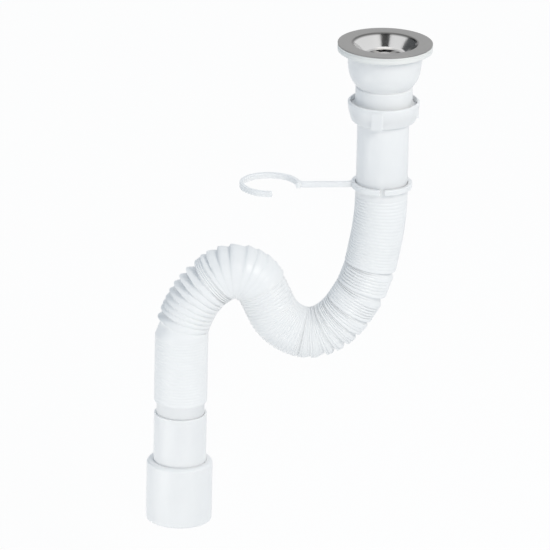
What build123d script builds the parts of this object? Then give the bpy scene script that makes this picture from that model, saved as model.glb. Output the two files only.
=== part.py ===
import os
from math import cos, degrees, pi, radians, sin

from build123d import *

# Flexible sink trap: strainer waste, union, bellows hose, clip and 40/50 mm tail.
# Millimetres, +Z up. The origin is on the waste axis where the sink sheet is clamped.

# Strainer dish, screw and gaskets
flange_d = 71.0
flange_w = 11.0
sheet = 1.0
upper_gasket_t = 1.6
lower_gasket_t = 3.4
gasket_rim = 3.0
gasket_clear = 1.3
dish_wall_w = 7.7
dish_depth = 9.5
slot_in_r = 6.9
slot_out_r = 12.5
slot_arc = 72.0
screw_d = 6.0
screw_head_d = 11.6
screw_len = 27.0

# Outlet body
body_wall = 2.4
body_flange_w = 4.2
body_flange_t = 2.3
bowl_top_z = -5.0
waist_d = 40.8
waist_z = -31.2
neck_d = 42.8
neck_step = 0.7
thread_d = 49.6
thread_top_z = -45.0
tail_end_z = -51.6
outlet_bore = 36.0
hub_d = 13.0
hub_top_z = -20.0
hub_len = 12.0
arm_t, arm_h = 3.0, 6.0
insert_d = 9.0

# Union nut and washer
nut_top_d = 53.8
nut_end_d = 48.0
nut_top_z = -42.5
nut_bore = 50.4
nut_lip = 1.6
nut_clear = 0.5
nut_seat_gap = 0.3
lug_count = 3
lug_w = 8.7
washer_t = 2.0

# Bellows hose: smooth cuff, then runs of pleats, then a smooth neck
cuff_d = 38.8
cuff_bore = 35.2
collar_d = 44.8
collar_t = 2.4
cuff_end_z = -113.5
drop_r = 19.8
bend_r = 19.4
arch_r = 20.8
fall_r = 20.2
hose_bore = 27.6
rib_depth = 0.75
pleats_per_rib = 4
# A shut pleat is this thick outside a bend and thinner inside it
pleat_pitch = 1.95
drop_pitch, drop_turns = 2.08, ((16, 9.8), (10, 1.6))
# Bend under the drop: opening turn and depth of a fold, then the shut pleats after it and
# their pitch on the inside of the bend
bend_stacks = ((7.0, 4.2, 8, 1.79), (10.0, 4.6, 7, 1.95), (6.4, 4.6, 4, 1.22), (6.2, 4.6, 3, 1.34),
               (7.2, 4.4, 2, 0.96), (6.2, 3.6, 2, 0.87), (12.4, 2.4, 2, 0.62), (10.1, 1.4, 2, 0.3),
               (3.0, 1.2, 2, 0.3))
low_pleats, low_pitch, low_fan = 24, 0.513, 2.011
rise_pleats, rise_pitch, rise_fan = 9, 1.895, 0.786
# Arch: opening turn and depth of each fold
arch_pitch = 0.1
arch_folds = ((11.65, 0.6), (11.65, 0.6), (11.65, 0.8), (11.65, 1.0), (19.0, 1.4), (13.8, 1.6), (12.7, 1.8), (7.4, 2.0))
# Turn from the arch to the fall: shut pleats, then the opening turn of the fold after them
fall_bend_pitch, fall_bend_depth = 1.76, 3.6
fall_bend_stacks = ((4, 6.5), (1, 5.8), (1, 5.2), (1, 4.5), (1, 4.1), (1, 2.1), (1, 1.4), (1, 5.5), (1, None))
fall_pitch, fall_pleats = 2.05, 26
hose_neck_d = 36.0
hose_neck_len = 32.0

# Clip
clip_t = 3.2
clip_h = 4.2
clip_gap = 0.3
clip_z = -108.7
clip_span = 84.0
clip_heading = 185.0
clip_open_deg = 82.0
clip_fillet = 4.0

# Tail
spigot_d = 40.0
spigot_bore = 36.6
spigot_drop = 9.9
spigot_len = 77.0
reducer_d = 50.0
reducer_wall = 2.4
reducer_len = 47.6
reducer_drop = 38.1
reducer_web = 12.0

os.makedirs("parts", exist_ok=True)


def save(part, name):
    part.label = name
    export_step(part, f"parts/{name}.step")


def turned(*profile):
    """Solid of revolution about Z from (radius, z) points."""
    outline = Polyline(*[(r, 0, z) for r, z in profile], close=True)
    return revolve(make_face(outline.edges()), Axis.Z)


def tube(outer_d, inner_d, z_low, z_high):
    return turned((inner_d / 2, z_low), (outer_d / 2, z_low), (outer_d / 2, z_high), (inner_d / 2, z_high))


lip_r = flange_d / 2 - flange_w
floor_r = lip_r - dish_wall_w
flange_top = upper_gasket_t + sheet
floor_z = flange_top - dish_depth

# Strainer dish: one pressing, flange, sloped wall, slotted floor with a dimple for the screw
dimple_r, dimple_z = screw_d / 2 + 0.2, floor_z - 2.6
dish_line = ((flange_d / 2, flange_top), (lip_r, flange_top), (floor_r, floor_z),
             (screw_head_d / 2, floor_z), (dimple_r, dimple_z), (dimple_r, dimple_z - sheet),
             (screw_head_d / 2 + 0.7, floor_z - sheet), (floor_r + 0.5, floor_z - sheet),
             (lip_r + 0.3, upper_gasket_t), (flange_d / 2, upper_gasket_t))
dish_face = make_face(Polyline(*[(r, 0, z) for r, z in dish_line], close=True).edges()).face()
for (r, z), radius in (((lip_r, flange_top), 2.6), ((floor_r, floor_z), 2.2),
                       ((floor_r + 0.5, floor_z - sheet), 3.0), ((lip_r + 0.3, upper_gasket_t), 1.6)):
    corner = dish_face.vertices().sort_by_distance((r, 0, z))[0]
    dish_face = dish_face.fillet_2d(radius, [corner])
dish = revolve(dish_face, Axis.Z)
slot_ring = Circle(slot_out_r) - Circle(slot_in_r)
for i in range(4):
    spoke_turn = 45 + 90 * i
    slot_ring -= Rot(0, 0, spoke_turn) * Pos(15, 0) * Rectangle(30, 2 * slot_out_r * sin(radians(45 - slot_arc / 2)))
dish -= extrude(Pos(0, 0, floor_z - 2) * slot_ring, 4)
save(dish, "strainer_dish")

# Countersunk slotted screw through the dimple
screw_end_z = floor_z - screw_len
screw = turned((0, floor_z), (screw_head_d / 2, floor_z), (dimple_r, dimple_z), (screw_d / 2, dimple_z),
               (screw_d / 2, screw_end_z + 0.8), (screw_d / 2 - 0.8, screw_end_z), (0, screw_end_z))
screw -= Pos(0, 0, floor_z) * Box(20, 1.4, 3.0)
save(screw, "strainer_screw")

# Flat upper gasket under the steel flange
gasket_in = 2 * (lip_r + gasket_clear)
save(tube(flange_d - 0.6, gasket_in, 0, upper_gasket_t), "upper_gasket")

# Lower gasket cups over the flange of the body
gasket_web = 0.9
body_flange_d = flange_d - 2 * gasket_rim
lower_gasket = turned((gasket_in / 2, -gasket_web), (body_flange_d / 2, -gasket_web),
                      (body_flange_d / 2, -lower_gasket_t), (flange_d / 2 - 0.5, -lower_gasket_t),
                      (flange_d / 2, -lower_gasket_t + 0.5), (flange_d / 2, -0.3), (flange_d / 2 - 0.3, 0),
                      (gasket_in / 2, 0))
save(lower_gasket, "lower_gasket")

# Outlet body: flanged bowl, waist, neck and threaded tail in one moulding, with a four-arm spider
bowl_r = body_flange_d / 2 - body_flange_w
bowl_form = ((0, 1), (0.26, 0.93), (0.51, 0.84), (0.73, 0.63), (0.9, 0.29))
bowl = [(waist_d / 2 + (bowl_r - waist_d / 2) * out, bowl_top_z + (waist_z - bowl_top_z) * down)
        for down, out in bowl_form]
bore_r = outlet_bore / 2
bore_top_z = waist_z + neck_step
outer_bowl = Spline(*[(r, 0, z) for r, z in bowl], (waist_d / 2, 0, waist_z))
inner_bowl = Spline(*[(r - body_wall, 0, z) for r, z in bowl], (bore_r, 0, bore_top_z))
flange_under_z = -gasket_web - body_flange_t
flange_line = Polyline((bowl_r - body_wall, 0, bowl_top_z), (bowl_r - body_wall, 0, -gasket_web),
                       (body_flange_d / 2, 0, -gasket_web), (body_flange_d / 2, 0, flange_under_z),
                       (bowl_r + 0.9, 0, flange_under_z), (bowl_r, 0, bowl_top_z))
tail_line = Polyline((waist_d / 2, 0, waist_z), (neck_d / 2, 0, waist_z - neck_step), (neck_d / 2, 0, thread_top_z),
                     (thread_d / 2, 0, thread_top_z - 1.0), (thread_d / 2, 0, tail_end_z + 0.8),
                     (thread_d / 2 - 0.8, 0, tail_end_z), (bore_r, 0, tail_end_z), (bore_r, 0, bore_top_z))
body_face = make_face(outer_bowl.edges() + inner_bowl.edges() + flange_line.edges() + tail_line.edges())
body = revolve(body_face, Axis.Z)
hub_end_z = hub_top_z - hub_len
spider = Pos(0, 0, hub_end_z) * extrude(Circle(hub_d / 2), hub_len)
for turn in (45, 135):
    spider += Pos(0, 0, hub_end_z + 1.0 + arm_h / 2) * Rot(0, 0, turn) * Box(waist_d - body_wall, arm_t, arm_h)
body += spider
body -= Pos(0, 0, hub_end_z) * extrude(Circle(insert_d / 2), hub_len)
save(body, "outlet_body")

# Brass bush in the hub
save(tube(insert_d, screw_d, hub_end_z, hub_top_z), "screw_insert")

collar_top = tail_end_z - washer_t
lip_top_z = collar_top - collar_t - nut_seat_gap
nut_end_z = lip_top_z - nut_lip
# Union nut: convex taper, inner lip under the collar of the hose, three grip lugs
nut_mid_r = nut_end_d / 2 + 0.72 * (nut_top_d - nut_end_d) / 2
lip_bore_r = cuff_d / 2 + nut_clear
nut_side = ThreePointArc((nut_top_d / 2, 0, nut_top_z - 0.8), (nut_mid_r, 0, (nut_top_z + nut_end_z) / 2),
                         (nut_end_d / 2, 0, nut_end_z + 0.6))
nut_line = Polyline((nut_end_d / 2, 0, nut_end_z + 0.6), (nut_end_d / 2 - 0.6, 0, nut_end_z),
                    (lip_bore_r, 0, nut_end_z), (lip_bore_r, 0, lip_top_z), (collar_d / 2 + nut_clear, 0, lip_top_z),
                    (nut_bore / 2, 0, tail_end_z), (nut_bore / 2, 0, nut_top_z),
                    (nut_top_d / 2 - 0.8, 0, nut_top_z), (nut_top_d / 2, 0, nut_top_z - 0.8))
nut = revolve(make_face(nut_side.edges() + nut_line.edges()), Axis.Z)
lug_top_z = nut_top_z - 1.6
lug_ring = turned((nut_end_d / 2 - 1.0, nut_end_z), (nut_top_d / 2 + 0.1, nut_end_z), (nut_top_d / 2 + 0.1, lug_top_z),
                  (nut_bore / 2 + 0.3, lug_top_z), (nut_bore / 2 + 0.3, tail_end_z))
for i in range(lug_count):
    lug_turn = -101 + 360 / lug_count * i
    nut += lug_ring & Rot(0, 0, lug_turn) * Pos(nut_top_d / 2, 0, nut_top_z) * Box(12, lug_w, 60)
save(nut, "union_nut")

# Flat washer between the tail of the body and the collar of the hose
save(tube(collar_d - 0.8, outlet_bore + 1.0, collar_top, tail_end_z), "union_washer")


# The bellows lies in the XZ plane. Each step moves a section on along its heading and turns
# it about its inner edge, so pleats stay shut inside a bend and open on the outside.
def step(place, pitch, turn, radius):
    x, z, heading = place
    x += pitch * cos(heading)
    z += pitch * sin(heading)
    if turn:
        side = radius if turn > 0 else -radius
        pivot_x, pivot_z = x - side * sin(heading), z + side * cos(heading)
        heading += radians(turn)
        x, z = pivot_x + side * sin(heading), pivot_z - side * cos(heading)
    return x, z, heading


def ring(place, radius, shift=0.0):
    """Circle across the hose, shifted sideways in the plane of the bend."""
    x, z, heading = place
    centre = (x - shift * sin(heading), 0, z + shift * cos(heading))
    return Wire.make_circle(radius, Plane(centre, x_dir=(0, 1, 0), z_dir=(cos(heading), 0, sin(heading))))


outside, bore_places = [], []


def closed_run(place, pleats, pitch, fan, radius):
    """Shut pleats, drawn as shallow ribs; a single one is a plain band."""
    ribs = max(1, round(pleats / pleats_per_rib))
    length, turn = pleats * pitch / ribs, pleats * fan / ribs
    for _ in range(ribs):
        if pleats > 1:
            outside.append(ring(step(place, length / 2, turn / 2, radius), radius - rib_depth))
        place = step(place, length, turn, radius)
        outside.append(ring(place, radius))
        bored(place, 12.0)
    return place


def open_fold(place, pitch, turn, radius, depth):
    """One open fold: it drops in behind the pleats before it and flares out to those after it."""
    shallow = min(depth, 0.5)
    shift = (depth - shallow) / 2 * (1 if turn > 0 else -1)
    valley = step(place, pitch * 0.15, turn * 0.15, radius)
    outside.append(ring(valley, radius - (depth + shallow) / 2, shift))
    place = step(place, pitch, turn, radius)
    outside.append(ring(place, radius))
    bored(place, 12.0)
    return place


def bored(place, least_turn=0.0):
    """Marks a section of the bore, unless the hose has hardly turned since the last one."""
    if abs(place[2] - bore_places[-1][2]) >= radians(least_turn):
        bore_places.append(place)


down = -pi / 2
for z, radius in ((collar_top, collar_d / 2), (collar_top - collar_t, collar_d / 2),
                  (collar_top - collar_t, cuff_d / 2), (cuff_end_z, cuff_d / 2)):
    outside.append(ring((0, z, down), radius))
place = (0, cuff_end_z - 1.6, down)
outside.append(ring(place, drop_r))
bore_places.append(place)
turned_so_far = 0.0
for pleats, turn in drop_turns:
    place = closed_run(place, pleats, drop_pitch, -turn / pleats, drop_r)
    turned_so_far += turn
bored(place)
for turn, depth, pleats, pitch in bend_stacks:
    fan = degrees((pleat_pitch - pitch) / (2 * bend_r))
    place = open_fold(place, pitch, -turn, bend_r, depth)
    place = closed_run(place, pleats, pitch, -fan, bend_r)
    turned_so_far += turn + fan * pleats
place = closed_run(place, low_pleats, low_pitch, -low_fan, bend_r)
bored(place)
place = closed_run(place, rise_pleats, rise_pitch, rise_fan, bend_r)
turned_so_far += low_pleats * low_fan - rise_pleats * rise_fan
for turn, depth in arch_folds:
    place = open_fold(place, arch_pitch, turn, arch_r, depth)
    turned_so_far -= turn
# The last fold brings the hose back to straight down
last_turn = turned_so_far - sum(turn for _, turn in fall_bend_stacks if turn)
for pleats, turn in fall_bend_stacks:
    place = closed_run(place, pleats, fall_bend_pitch, 0, fall_r)
    place = open_fold(place, fall_bend_pitch, turn or last_turn, fall_r, fall_bend_depth)
bored(place)
fall_top_z = place[1]
place = closed_run(place, fall_pleats, fall_pitch, 0, fall_r)
tail_x, fall_end_z, _ = place
neck_end = step(place, hose_neck_len, 0, fall_r)
bored(neck_end)
outside.append(ring(step(place, 1.6, 0, fall_r), hose_neck_d / 2))
outside.append(ring(neck_end, hose_neck_d / 2))
inside = [ring((0, collar_top, down), cuff_bore / 2), ring((0, cuff_end_z, down), cuff_bore / 2)]
inside += [ring(spot, hose_bore / 2) for spot in bore_places]


def skin(*sections):
    return [Face.make_surface_from_curves(a.edge(), b.edge()) for a, b in zip(sections, sections[1:])]


# One closed wall: outside, bore and the two end rims
hose = Solid(Shell(skin(*outside) + skin(*inside) + skin(outside[0], inside[0]) + skin(outside[-1], inside[-1])))
save(hose, "trap_hose")

# Clip: two C rings on one bar, cut from flat strip, with both mouths on the same side
clip_in_r = cuff_d / 2 + clip_gap
clip_out_r = clip_in_r + clip_t
wedge_r = 2 * clip_out_r
bar_half = clip_span / 2
bar_end = bar_half - clip_out_r
clip_plan = Sketch() + Rectangle(2 * (bar_end + clip_t / 2), clip_t)
for side in (-1, 1):
    c_ring = Circle(clip_out_r) - Circle(clip_in_r)
    start = 270.0 if side < 0 else 270.0 - clip_open_deg
    a, b = radians(start), radians(start + clip_open_deg)
    mouth = Polyline((0, 0), (wedge_r * cos(a), wedge_r * sin(a)), (wedge_r * cos(b), wedge_r * sin(b)), close=True)
    c_ring -= make_face(mouth.edges())
    clip_plan += Pos(side * bar_half, 0) * c_ring
corners = [clip_plan.vertices().sort_by_distance((side * bar_end, clip_t / 2))[0] for side in (-1, 1)]
clip_plan = fillet(corners, clip_fillet)
clip = extrude(Pos(0, 0, clip_z - clip_h / 2) * clip_plan, clip_h)
clip = Rot(0, 0, clip_heading - 180) * Pos(-bar_half, 0, 0) * clip
save(clip, "trap_clip")

# Smooth 40 mm spigot on the neck of the hose
spigot_top = fall_end_z - spigot_drop
spigot = Pos(tail_x, 0, 0) * tube(spigot_d, spigot_bore, spigot_top - spigot_len, spigot_top)
save(spigot, "tail_spigot")

# Reducer sleeve: thick web round the spigot, thin skirt below
reducer_top = spigot_top - reducer_drop
reducer_end = reducer_top - reducer_len
reducer = turned((spigot_d / 2, reducer_top), (reducer_d / 2 - 1.6, reducer_top), (reducer_d / 2, reducer_top - 1.6),
                 (reducer_d / 2, reducer_end + 0.8), (reducer_d / 2 - 0.8, reducer_end),
                 (reducer_d / 2 - reducer_wall, reducer_end),
                 (reducer_d / 2 - reducer_wall, reducer_top - reducer_web), (spigot_d / 2, reducer_top - reducer_web))
save(Pos(tail_x, 0, 0) * reducer, "reducer_sleeve")
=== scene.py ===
from math import cos, pi, radians, sin

import bmesh
import bpy
from mathutils import Matrix, Vector


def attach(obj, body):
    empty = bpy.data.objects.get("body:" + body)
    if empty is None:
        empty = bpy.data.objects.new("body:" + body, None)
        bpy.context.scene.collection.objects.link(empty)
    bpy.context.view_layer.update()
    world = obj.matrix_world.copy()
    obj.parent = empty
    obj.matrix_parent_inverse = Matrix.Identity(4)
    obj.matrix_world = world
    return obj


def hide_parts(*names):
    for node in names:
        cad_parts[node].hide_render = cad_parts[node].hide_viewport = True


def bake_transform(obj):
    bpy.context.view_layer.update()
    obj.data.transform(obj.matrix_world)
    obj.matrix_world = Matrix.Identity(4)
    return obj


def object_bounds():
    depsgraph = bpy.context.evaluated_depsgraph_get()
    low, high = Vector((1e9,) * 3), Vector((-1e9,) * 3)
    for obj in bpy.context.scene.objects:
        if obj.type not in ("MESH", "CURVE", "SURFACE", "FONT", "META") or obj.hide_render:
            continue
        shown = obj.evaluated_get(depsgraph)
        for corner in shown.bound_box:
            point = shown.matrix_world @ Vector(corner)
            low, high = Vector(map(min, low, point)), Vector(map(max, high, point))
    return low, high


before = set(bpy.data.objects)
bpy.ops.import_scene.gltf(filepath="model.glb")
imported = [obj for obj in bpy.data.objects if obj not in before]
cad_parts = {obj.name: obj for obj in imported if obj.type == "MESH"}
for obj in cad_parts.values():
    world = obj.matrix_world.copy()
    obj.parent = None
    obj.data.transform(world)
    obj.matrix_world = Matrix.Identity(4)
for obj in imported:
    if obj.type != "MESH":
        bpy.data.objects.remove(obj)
cad_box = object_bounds()

# Camera: a long lens a little above the trap, aimed at the middle of the picture and
# turned slightly on its axis, as the photograph is.
view_middle = Vector((-0.0785, 0.0, -0.1833))
view_distance = 5.8
view_height = radians(20.0)
view_roll = radians(1.2)
camera = bpy.data.objects.new("camera", bpy.data.cameras.new("camera"))
camera.data.sensor_width = 36.0
camera.data.lens = 504.3
back = Vector((0.0, -cos(view_height), sin(view_height)))
look = back.to_track_quat("Z", "Y").to_matrix().to_4x4()
stand = Matrix.Translation(view_middle + back * view_distance)
camera.matrix_world = stand @ look @ Matrix.Rotation(view_roll, 4, "Z")
bpy.context.scene.collection.objects.link(camera)
bpy.context.scene.camera = camera
bpy.context.scene.view_settings.view_transform = "Standard"


# Studio: a wide soft lamp high at the front right, weak ones low at the left and the front and
# one from behind, in a pale room with a white floor below the tail.
def soft_lamp(name, place, width, power):
    lamp = bpy.data.lights.new(name, "AREA")
    lamp.shape = "DISK"
    lamp.size = width
    lamp.energy = power
    lamp.color = (1.0, 0.945, 0.87)
    holder = bpy.data.objects.new(name, lamp)
    aim = (Vector(place) - view_middle).to_track_quat("Z", "Y").to_matrix().to_4x4()
    holder.matrix_world = Matrix.Translation(Vector(place)) @ aim
    bpy.context.scene.collection.objects.link(holder)


soft_lamp("key_lamp", (1.1, -1.5, 1.2), 1.0, 21.2)
soft_lamp("low_lamp", (-0.45, -0.26, -0.48), 0.3, 0.95)
soft_lamp("side_lamp", (-0.42, -0.06, -0.40), 0.2, 0.1)
soft_lamp("floor_lamp", (0.02, -0.22, -0.44), 0.15, 0.06)
soft_lamp("top_lamp", (0.1, 0.6, 1.9), 1.0, 1.5)

# Dark cards that only the polished steel sees, so that its bowl has something to mirror.
for name, place, width, height, grey in (("front_card", (0.0, -0.85, 1.3), 0.7, 0.9, 0.005),
                                         ("left_card", (-1.3, 0.65, 0.4), 2.2, 1.3, 0.11)):
    card_paint = bpy.data.materials.new(name)
    card_paint.use_nodes = True
    shader = card_paint.node_tree.nodes["Principled BSDF"]
    shader.inputs["Base Color"].default_value = (grey, grey, grey, 1.0)
    shader.inputs["Roughness"].default_value = 1.0
    mesh = bpy.data.meshes.new(name)
    bm = bmesh.new()
    bmesh.ops.create_grid(bm, x_segments=1, y_segments=1, size=0.5)
    bmesh.ops.scale(bm, vec=(width, height, 1.0), verts=bm.verts)
    facing = Vector(place).to_track_quat("Z", "Y").to_matrix().to_4x4()
    bmesh.ops.transform(bm, matrix=Matrix.Translation(Vector(place)) @ facing, verts=bm.verts)
    bm.to_mesh(mesh)
    bm.free()
    mesh.materials.append(card_paint)
    card = bpy.data.objects.new(name, mesh)
    card.visible_camera = False
    card.visible_diffuse = False
    card.visible_transmission = False
    card.visible_shadow = False
    bpy.context.scene.collection.objects.link(card)


def seen_directly(nodes, links):
    """1 for what the camera, a reflection or glass sees, 0 for light on surfaces."""
    path = nodes.new("ShaderNodeLightPath")
    total = None
    for ray in ("Is Camera Ray", "Is Glossy Ray", "Is Transmission Ray"):
        if total is None:
            total = path.outputs[ray]
            continue
        add = nodes.new("ShaderNodeMath")
        add.operation = "ADD"
        add.use_clamp = True
        links.new(total, add.inputs[0])
        links.new(path.outputs[ray], add.inputs[1])
        total = add.outputs[0]
    return total


world = bpy.data.worlds.new("pale_room")
bpy.context.scene.world = world
world.use_nodes = True
nodes, links = world.node_tree.nodes, world.node_tree.links
nodes["Background"].inputs["Color"].default_value = (0.885, 0.985, 1.08, 1.0)
nodes["Background"].inputs["Strength"].default_value = 0.67
white_back = nodes.new("ShaderNodeBackground")
white_back.inputs["Color"].default_value = (1.0, 1.0, 1.0, 1.0)
mix = nodes.new("ShaderNodeMixShader")
links.new(seen_directly(nodes, links), mix.inputs[0])
links.new(nodes["Background"].outputs[0], mix.inputs[1])
links.new(white_back.outputs[0], mix.inputs[2])
links.new(mix.outputs[0], nodes["World Output"].inputs["Surface"])

floor_drop = 0.07
floor_mesh = bpy.data.meshes.new("floor")
bm = bmesh.new()
bmesh.ops.create_grid(bm, x_segments=1, y_segments=1, size=6.0)
bmesh.ops.translate(bm, vec=(0, 0, cad_box[0][2] - floor_drop), verts=bm.verts)
bm.to_mesh(floor_mesh)
bm.free()
floor = bpy.data.objects.new("floor", floor_mesh)
bpy.context.scene.collection.objects.link(floor)
floor_white = bpy.data.materials.new("floor_white")
floor_white.use_nodes = True
nodes, links = floor_white.node_tree.nodes, floor_white.node_tree.links
nodes["Principled BSDF"].inputs["Base Color"].default_value = (0.9, 0.9, 0.9, 1.0)
nodes["Principled BSDF"].inputs["Roughness"].default_value = 0.9
glow = nodes.new("ShaderNodeEmission")
mix = nodes.new("ShaderNodeMixShader")
share = nodes.new("ShaderNodeMath")
share.operation = "MULTIPLY"
share.inputs[1].default_value = 0.94
links.new(seen_directly(nodes, links), share.inputs[0])
links.new(share.outputs[0], mix.inputs[0])
links.new(nodes["Principled BSDF"].outputs[0], mix.inputs[1])
links.new(glow.outputs[0], mix.inputs[2])
links.new(mix.outputs[0], nodes["Material Output"].inputs["Surface"])
floor_mesh.materials.append(floor_white)


# Strainer dish: pressed from one steel sheet, with a satin flange and a polished, slotted
# bowl. It lies on the upper gasket and is drawn down by the middle screw.
def dressed(node, body, material, round_off):
    """A merged copy of a solid with softened edges, in place of the solid."""
    bm = bmesh.new()
    bm.from_mesh(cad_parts[node].data)
    bm.transform(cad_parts[node].matrix_world)
    bmesh.ops.remove_doubles(bm, verts=bm.verts, dist=2e-6)
    bmesh.ops.dissolve_limit(bm, angle_limit=radians(0.5), verts=bm.verts, edges=bm.edges)
    for face in bm.faces:
        face.smooth = True
    mesh = bpy.data.meshes.new(node + "_piece")
    bm.to_mesh(mesh)
    bm.free()
    mesh.set_sharp_from_angle(angle=radians(32))
    piece = bpy.data.objects.new(node + "_piece", mesh)
    bpy.context.scene.collection.objects.link(piece)
    mesh.materials.append(material)
    if round_off:
        edge = piece.modifiers.new("edge", "BEVEL")
        edge.width = round_off
        edge.segments = 3
        edge.limit_method = "ANGLE"
        edge.angle_limit = radians(32)
        edge.harden_normals = False
    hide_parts(node)
    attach(piece, body)
    return piece


def finish(name, colour, roughness, metallic=0.0):
    material = bpy.data.materials.new(name)
    material.use_nodes = True
    shader = material.node_tree.nodes["Principled BSDF"]
    shader.inputs["Base Color"].default_value = (*colour, 1.0)
    shader.inputs["Roughness"].default_value = roughness
    shader.inputs["Metallic"].default_value = metallic
    return material


dish_steel = finish("dish_steel", (0.34, 0.34, 0.35), 0.4, 1.0)
nodes, links = dish_steel.node_tree.nodes, dish_steel.node_tree.links
place = nodes.new("ShaderNodeTexCoord")
flat = nodes.new("ShaderNodeVectorMath")
flat.operation = "MULTIPLY"
flat.inputs[1].default_value = (1, 1, 0)
radius = nodes.new("ShaderNodeVectorMath")
radius.operation = "LENGTH"
links.new(place.outputs["Object"], flat.inputs[0])
links.new(flat.outputs[0], radius.inputs[0])
ramp_reach = 0.040
across = nodes.new("ShaderNodeMath")
across.operation = "DIVIDE"
across.inputs[1].default_value = ramp_reach
links.new(radius.outputs["Value"], across.inputs[0])
# Grey of the steel from the middle out: floor, bowl, rolled lip and flange. The floor of the bowl is kept as
# dark as the flange as a painted dark reflection, and the narrow dark band at the rolled lip is painted
# shade.
steel_grey_with_painted_shade = nodes.new("ShaderNodeValToRGB")
flange_and_painted_floor_grey = 0.30
for end_stop in steel_grey_with_painted_shade.color_ramp.elements:
    end_stop.color = (flange_and_painted_floor_grey, flange_and_painted_floor_grey, flange_and_painted_floor_grey, 1.0)
# Stops 0.32 to 0.355 end the painted dark reflection on the floor, and 0.6 to 0.62 are the painted shade
# band at the rolled lip
for share, grey in ((0.32, flange_and_painted_floor_grey), (0.355, 0.70), (0.575, 0.66), (0.6, 0.12), (0.62, 0.16),
                    (0.635, flange_and_painted_floor_grey)):
    stop = steel_grey_with_painted_shade.color_ramp.elements.new(share)
    stop.color = (grey, grey, grey, 1.0)
links.new(across.outputs[0], steel_grey_with_painted_shade.inputs["Fac"])
links.new(steel_grey_with_painted_shade.outputs["Color"], nodes["Principled BSDF"].inputs["Base Color"])
satin = nodes.new("ShaderNodeMapRange")
satin.inputs["From Min"].default_value = 0.0236
satin.inputs["From Max"].default_value = 0.0252
links.new(radius.outputs["Value"], satin.inputs["Value"])
# Turning lines round the flange: fine rings that change its gloss a little
rings = nodes.new("ShaderNodeMath")
rings.operation = "MULTIPLY"
rings.inputs[1].default_value = 9000.0
links.new(radius.outputs["Value"], rings.inputs[0])
lines = nodes.new("ShaderNodeTexNoise")
lines.noise_dimensions = "1D"
lines.inputs["Scale"].default_value = 1.0
lines.inputs["Detail"].default_value = 3.0
links.new(rings.outputs[0], lines.inputs["W"])
gloss = nodes.new("ShaderNodeMapRange")
gloss.inputs["To Min"].default_value = 0.34
gloss.inputs["To Max"].default_value = 0.50
links.new(lines.outputs["Fac"], gloss.inputs["Value"])
rough = nodes.new("ShaderNodeMix")
rough.data_type = "FLOAT"
rough.inputs["A"].default_value = 0.18
links.new(satin.outputs[0], rough.inputs["Factor"])
links.new(gloss.outputs[0], rough.inputs["B"])
links.new(rough.outputs["Result"], nodes["Principled BSDF"].inputs["Roughness"])
dish = dressed("strainer_dish", "waste", dish_steel, 0.0003)

# Strainer screw: countersunk, slotted, turned from stainless steel, with faint turning marks.
def turned_metal(name, colour, low_gloss, high_gloss):
    material = finish(name, colour, low_gloss, 1.0)
    nodes, links = material.node_tree.nodes, material.node_tree.links
    place = nodes.new("ShaderNodeTexCoord")
    marks = nodes.new("ShaderNodeTexNoise")
    marks.inputs["Scale"].default_value = 700.0
    links.new(place.outputs["Object"], marks.inputs["Vector"])
    gloss = nodes.new("ShaderNodeMapRange")
    gloss.inputs["To Min"].default_value = low_gloss
    gloss.inputs["To Max"].default_value = high_gloss
    links.new(marks.outputs["Fac"], gloss.inputs["Value"])
    links.new(gloss.outputs[0], nodes["Principled BSDF"].inputs["Roughness"])
    return material


screw_steel = turned_metal("screw_steel", (0.55, 0.55, 0.56), 0.18, 0.34)
dressed("strainer_screw", "waste", screw_steel, 0.0002)

# Gaskets: two soft pale rings that hold the sink sheet between them; the lower one is cupped
# over the flange of the body. Both are moulded rubber with a dull, faintly mottled skin.
skin = bpy.data.node_groups.new("moulded_skin", "ShaderNodeTree")
for label, kind in (("Colour", "NodeSocketColor"), ("Roughness", "NodeSocketFloat"),
                    ("Mottle", "NodeSocketFloat"), ("Grain Scale", "NodeSocketFloat")):
    skin.interface.new_socket(label, in_out="INPUT", socket_type=kind)
for label, kind in (("Colour", "NodeSocketColor"), ("Roughness", "NodeSocketFloat"),
                    ("Height", "NodeSocketFloat")):
    skin.interface.new_socket(label, in_out="OUTPUT", socket_type=kind)
nodes, links = skin.nodes, skin.links
given = nodes.new("NodeGroupInput")
result = nodes.new("NodeGroupOutput")
place = nodes.new("ShaderNodeTexCoord")
cloud = nodes.new("ShaderNodeTexNoise")
cloud.inputs["Scale"].default_value = 55.0
cloud.inputs["Detail"].default_value = 4.0
links.new(place.outputs["Object"], cloud.inputs["Vector"])
shade = nodes.new("ShaderNodeMapRange")
shade.inputs["From Min"].default_value = 0.3
shade.inputs["From Max"].default_value = 0.7
shade.inputs["To Min"].default_value = 0.0
links.new(cloud.outputs["Fac"], shade.inputs["Value"])
links.new(given.outputs["Mottle"], shade.inputs["To Max"])
darker = nodes.new("ShaderNodeMix")
darker.data_type = "RGBA"
darker.inputs["B"].default_value = (0.0, 0.0, 0.0, 1.0)
links.new(shade.outputs[0], darker.inputs["Factor"])
links.new(given.outputs["Colour"], darker.inputs["A"])
links.new(darker.outputs["Result"], result.inputs["Colour"])
grain = nodes.new("ShaderNodeTexNoise")
grain.inputs["Detail"].default_value = 2.0
links.new(place.outputs["Object"], grain.inputs["Vector"])
links.new(given.outputs["Grain Scale"], grain.inputs["Scale"])
links.new(grain.outputs["Fac"], result.inputs["Height"])
spread = nodes.new("ShaderNodeMath")
spread.operation = "MULTIPLY_ADD"
spread.inputs[1].default_value = 0.16
links.new(cloud.outputs["Fac"], spread.inputs[0])
links.new(given.outputs["Roughness"], spread.inputs[2])
links.new(spread.outputs[0], result.inputs["Roughness"])


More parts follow.
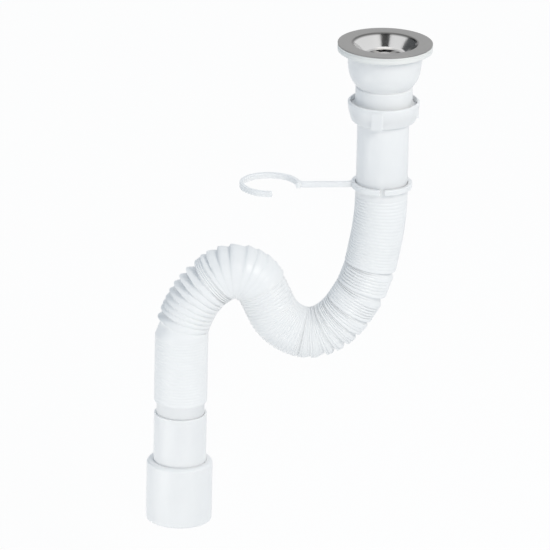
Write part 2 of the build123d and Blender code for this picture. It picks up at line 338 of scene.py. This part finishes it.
def moulded(name, colour, roughness, mottle, grain_scale, grain_depth):
    """A moulded plastic or rubber: faint clouds in its tone and gloss, and a fine grain."""
    material = finish(name, colour, roughness)
    nodes, links = material.node_tree.nodes, material.node_tree.links
    shader = nodes["Principled BSDF"]
    group = nodes.new("ShaderNodeGroup")
    group.node_tree = skin
    group.inputs["Colour"].default_value = (*colour, 1.0)
    group.inputs["Roughness"].default_value = roughness - 0.08
    group.inputs["Mottle"].default_value = mottle
    group.inputs["Grain Scale"].default_value = grain_scale
    bump = nodes.new("ShaderNodeBump")
    bump.inputs["Strength"].default_value = 0.25
    bump.inputs["Distance"].default_value = grain_depth
    links.new(group.outputs["Colour"], shader.inputs["Base Color"])
    links.new(group.outputs["Roughness"], shader.inputs["Roughness"])
    links.new(group.outputs["Height"], bump.inputs["Height"])
    links.new(bump.outputs["Normal"], shader.inputs["Normal"])
    return material


pale_rubber = moulded("pale_rubber", (0.81, 0.81, 0.79), 0.55, 0.03, 2500.0, 0.00006)
dressed("upper_gasket", "waste", pale_rubber, 0.00015)
dressed("lower_gasket", "waste", pale_rubber, 0.0005)

# Outlet body: white polypropylene bowl, neck and threaded tail in one moulding, with a brass
# bush pressed into the hub of its spider for the screw.
white_plastic = moulded("white_plastic", (0.83, 0.83, 0.83), 0.34, 0.015, 3500.0, 0.00003)
shader = white_plastic.node_tree.nodes["Principled BSDF"]
shader.inputs["Subsurface Weight"].default_value = 0.4
shader.inputs["Subsurface Radius"].default_value = (1.0, 1.0, 1.0)
shader.inputs["Subsurface Scale"].default_value = 0.002
dressed("outlet_body", "waste", white_plastic, 0.0005)
brass = turned_metal("brass", (0.62, 0.45, 0.18), 0.26, 0.46)
dressed("screw_insert", "waste", brass, 0.0002)

# Union nut: tapered white moulding with grip lugs, screwed on the tail of the body. It presses
# a flat black washer on the collar of the hose.
dressed("union_nut", "nut", white_plastic, 0.0006)
black_rubber = moulded("black_rubber", (0.02, 0.02, 0.02), 0.6, 0.2, 2500.0, 0.00006)
dressed("union_washer", "waste", black_rubber, 0.0003)

# Trap hose: one blow-moulded bellows with a smooth cuff above and a smooth neck below.
# Its pleats lie shut in stacks, and open in single folds round the outside of each bend.
hose_plastic = moulded("hose_plastic", (0.85, 0.85, 0.85), 0.4, 0.015, 3000.0, 0.00003)
mm = 0.001
ring_points = 96
cuff_r, cuff_bore_r, collar_r = 19.4 * mm, 17.6 * mm, 22.4 * mm
neck_r, bore_r, neck_len = 18.25 * mm, 13.8 * mm, 32 * mm
collar_top, collar_under, cuff_end = -53.6 * mm, -56.0 * mm, -113.5 * mm
drop_r, bend_r, arch_r, fall_r = 19.8 * mm, 19.4 * mm, 20.8 * mm, 20.2 * mm
drop_pitch, drop_turns = 2.352 * mm, ((14, 9.8), (9, 1.6))
# Opening turn, pitch and depth of a fold, then the shut pleats after it, their pitch inside
# the bend and how far each fans out
bend_stacks = ((7.0, 1.79, 5.4, 6, 2.387, 0.315), (10.0, 1.95, 5.4, 6, 2.275, 0.0),
               (6.4, 1.22, 5.4, 3, 1.627, 1.437), (6.2, 1.34, 5.4, 3, 1.34, 0.901),
               (7.2, 0.96, 5.0, 2, 0.96, 1.462), (6.2, 0.87, 4.4, 2, 0.87, 1.595),
               (12.4, 0.62, 2.8, 2, 0.62, 1.964), (10.1, 0.3, 1.6, 2, 0.3, 2.437),
               (3.0, 0.3, 1.2, 2, 0.3, 2.437))
low_pleats, low_pitch, low_fan = 12, 1.026 * mm, 4.022
rise_pleats, rise_pitch, rise_fan = 7, 2.436 * mm, 1.011
arch_pitch = 0.1 * mm
arch_folds = ((11.65, 0.5), (11.65, 0.6), (11.65, 0.8), (11.65, 1.1), (19.0, 1.7),
              (13.8, 2.2), (12.7, 2.6), (7.4, 3.0))
# Opening turn and depth of each fold round the shoulder; the last turn is what is left
fall_bend_pitch, fall_bend_flare = 1.68 * mm, 0.28
fall_bend_folds = ((6.5, 5.8), (5.8, 5.8), (5.2, 5.0), (4.5, 4.6), (4.1, 2.2), (2.1, 1.6), (1.4, 1.2),
                   (5.5, 5.4), (None, 3.0))
fall_pleats, fall_pitch = 23, 2.317 * mm
# Depth of the grooves all round, and what is added to it on the inside of a bend
drop_groove, drop_inner_groove = 0.35 * mm, 0.3 * mm
bend_groove, low_groove, low_inner_groove, rise_groove = 0.6 * mm, 0.6 * mm, -0.25 * mm, 0.65 * mm
arch_groove, fall_groove = 0.15 * mm, 0.25 * mm
shoulder_pleats, shoulder_groove, shoulder_inner_groove = 4, 0.6 * mm, 0.9 * mm
tooth_groove, tooth_inner_groove = 0.15 * mm, 1.4 * mm
lead_in = 1.6 * mm


def step(spot, pitch, turn, radius):
    """Moves a section on along the hose and turns it about its inner edge."""
    x, z, heading = spot
    x += pitch * cos(heading)
    z += pitch * sin(heading)
    if turn:
        side = radius if turn > 0 else -radius
        pivot_x, pivot_z = x - side * sin(heading), z + side * cos(heading)
        heading += radians(turn)
        x, z = pivot_x + side * sin(heading), pivot_z - side * cos(heading)
    return x, z, heading


# Sections of the wall in order: place, radius, how far it dips all round, outside the bend and
# inside it, and the way the bend turns
wall, bore_spots = [], []


crest = ((0.22, 0.36), (0.5, 0.0), (0.78, 0.36), (1.0, 1.0))
last_crest = ((0.22, 0.36), (0.5, 0.0), (1.0, 0.0))


def shut_pleats(spot, count, pitch, fan, radius, groove, inner_groove=0.0, stack_end=False):
    """Pleats that lie against each other: rounded crests with a fine groove after each. The
    last one of a stack ends in a sharp edge."""
    bend = -1 if fan < 0 else 1
    for pleat in range(count):
        for share, dip in last_crest if stack_end and pleat == count - 1 else crest:
            ring = step(spot, pitch * share, fan * share, radius)
            wall.append((ring, radius, dip * groove, 0.0, dip * inner_groove, bend))
        spot = step(spot, pitch, fan, radius)
    bore_spots.append(spot)
    return spot


# Along a fold: how far in its flank lies, and its share of the groove that runs out at the
# outer edge of the bend
crisp_fold = ((0.015, 0.5, 0.5), (0.05, 0.96, 1.0), (0.09, 1.0, 1.0), (0.2, 0.88, 0.2), (0.4, 0.66, 0.0),
              (0.5, 0.55, 1.0), (0.6, 0.44, 0.0), (0.85, 0.17, 0.2), (1.0, 0.0, 1.0))
tooth_fold = ((0.06, 0.3, 0.2), (0.14, 0.66, 0.6), (0.24, 0.94, 1.0), (0.32, 1.0, 1.0), (0.45, 0.88, 0.7),
              (0.65, 0.55, 0.3), (0.85, 0.22, 0.0), (1.0, 0.0, 0.0))
soft_fold = ((0.05, 0.22, 0.2), (0.12, 0.72, 0.7), (0.2, 1.0, 1.0), (0.3, 0.92, 0.9), (0.5, 0.55, 0.5),
             (0.75, 0.18, 0.2), (1.0, 0.0, 0.0))


def open_fold(spot, pitch, turn, radius, form, depth, groove, inner_groove=0.0, flare=0.0):
    """A fold that drops in behind the pleats before it and flares out to those after it."""
    bend = 1 if turn > 0 else -1
    for share, dip, cut in form:
        ring = step(spot, pitch * share, turn * share, radius)
        if share > 0.1:
            dip = flare + (1 - flare) * dip
        wall.append((ring, radius, cut * groove, dip * depth - cut * groove, cut * inner_groove, bend))
    spot = step(spot, pitch, turn, radius)
    bore_spots.append(spot)
    return spot


down = -pi / 2
for z, radius in ((collar_top, cuff_bore_r), (collar_top, collar_r - 0.3 * mm),
                  (collar_top - 0.3 * mm, collar_r), (collar_under, collar_r),
                  (collar_under, cuff_r), (cuff_end + 0.4 * mm, cuff_r), (cuff_end, cuff_r - 0.3 * mm)):
    wall.append(((0, z, down), radius, 0, 0, 0, -1))
spot = (0, cuff_end - lead_in, down)
wall.append((spot, drop_r, 0, 0, 0, -1))
bore_spots.append(spot)
turned_so_far = 0.0
for number, (pleats, turn) in enumerate(drop_turns, 1):
    spot = shut_pleats(spot, pleats, drop_pitch, -turn / pleats, drop_r, drop_groove, drop_inner_groove,
                       stack_end=number == len(drop_turns))
    turned_so_far += turn
# Inside the bend the grooves are deeper where the pleats have room, and shallower where they
# are pinched
for number, (turn, fold_pitch, depth, pleats, pitch, fan) in enumerate(bend_stacks, 1):
    inner_groove = 0.8 * (pitch - 0.9) * mm
    spot = open_fold(spot, fold_pitch * mm, -turn, bend_r, crisp_fold, depth * mm, bend_groove, inner_groove)
    spot = shut_pleats(spot, pleats, pitch * mm, -fan, bend_r, bend_groove, inner_groove,
                       stack_end=number < len(bend_stacks))
    turned_so_far += turn + fan * pleats
spot = shut_pleats(spot, low_pleats, low_pitch, -low_fan, bend_r, low_groove, low_inner_groove)
spot = shut_pleats(spot, rise_pleats, rise_pitch, rise_fan, bend_r, rise_groove)
turned_so_far += low_pleats * low_fan - rise_pleats * rise_fan
for turn, depth in arch_folds:
    spot = open_fold(spot, arch_pitch, turn, arch_r, soft_fold, depth * mm, arch_groove)
    turned_so_far -= turn
# Round the shoulder each fold runs on into a single pleat, which makes a pointed tooth, and
# the last one brings the hose back to straight down
spot = shut_pleats(spot, shoulder_pleats, fall_bend_pitch, 0, fall_r, shoulder_groove, shoulder_inner_groove)
last_turn = turned_so_far - sum(turn for turn, _ in fall_bend_folds if turn)
for turn, depth in fall_bend_folds:
    spot = open_fold(spot, fall_bend_pitch, turn or last_turn, fall_r, tooth_fold, depth * mm,
                     tooth_groove, tooth_inner_groove, fall_bend_flare)
    spot = step(spot, fall_bend_pitch, 0, fall_r)
    wall.append((spot, fall_r, 0, 0, 0, 1))
spot = shut_pleats(spot, fall_pleats, fall_pitch, 0, fall_r, fall_groove)
wall.append((step(spot, lead_in, 0, fall_r), neck_r, 0, 0, 0, 1))
neck_end = step(spot, neck_len, 0, fall_r)
for radius in (neck_r, bore_r):
    wall.append((neck_end, radius, 0, 0, 0, 1))
for spot in reversed(bore_spots):
    wall.append((spot, bore_r, 0, 0, 0, 1))
for z in (cuff_end, collar_top):
    wall.append(((0, z, down), cuff_bore_r, 0, 0, 0, 1))

# The sections are rolled into one tube. Folds reach furthest in at the outer edge of a bend and
# fade quickly to its sides, and inner grooves fade slowly
hose_bm = bmesh.new()
bmesh.ops.create_grid(hose_bm, x_segments=ring_points, y_segments=len(wall) - 1, size=1.0)
for vert in hose_bm.verts:
    around = pi * (vert.co.x + 1)
    row = round((vert.co.y + 1) / 2 * (len(wall) - 1))
    (x, z, heading), radius, dip, outer_dip, inner_dip, bend = wall[row]
    outside = (1 - bend * cos(around)) / 2
    reach = radius - dip - outer_dip * outside ** 4 - inner_dip * (1 - outside) ** 2
    sideways = reach * cos(around)
    vert.co = (x - sideways * sin(heading), reach * sin(around), z + sideways * cos(heading))
bmesh.ops.remove_doubles(hose_bm, verts=hose_bm.verts, dist=1e-6)
bmesh.ops.recalc_face_normals(hose_bm, faces=hose_bm.faces)
for face in hose_bm.faces:
    face.smooth = True
hose_mesh = bpy.data.meshes.new("trap_hose_piece")
hose_bm.to_mesh(hose_mesh)
hose_bm.free()
hose_mesh.set_sharp_from_angle(angle=radians(62))
hose_mesh.materials.append(hose_plastic)
hose = bpy.data.objects.new("trap_hose_piece", hose_mesh)
bpy.context.scene.collection.objects.link(hose)
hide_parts("trap_hose")
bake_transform(hose)

# Clip: two rings on a bar, one plastic moulding. The ring on the cuff runs on round the front
# to a narrow slit, and the other one is an open hook for a second leg of the hose.
clip = dressed("trap_clip", "clip", white_plastic, 0.0005)
jaw_in_r, jaw_out_r, jaw_low, jaw_high = 19.42 * mm, 22.9 * mm, -110.8 * mm, -106.6 * mm
jaw_start, jaw_end = radians(191.0), radians(266.0)
bm = bmesh.new()
bm.from_mesh(clip.data)
section = ((jaw_in_r, jaw_low), (jaw_out_r, jaw_low), (jaw_out_r, jaw_high), (jaw_in_r, jaw_high))
corners = [bm.verts.new((r * cos(jaw_start), r * sin(jaw_start), z)) for r, z in section]
jaw_face = bm.faces.new(corners)
bmesh.ops.spin(bm, geom=[jaw_face, *jaw_face.edges, *jaw_face.verts], cent=(0, 0, 0), axis=(0, 0, 1),
               angle=jaw_end - jaw_start, steps=24, use_merge=False)
bmesh.ops.recalc_face_normals(bm, faces=bm.faces)
for face in bm.faces:
    face.smooth = True
bm.to_mesh(clip.data)
bm.free()
clip.data.set_sharp_from_angle(angle=radians(32))

# Tail: smooth spigot on the neck of the hose, in a wider sleeve for larger drain pipe.
dressed("tail_spigot", "tail", white_plastic, 0.0003)
dressed("reducer_sleeve", "tail", white_plastic, 0.0006)
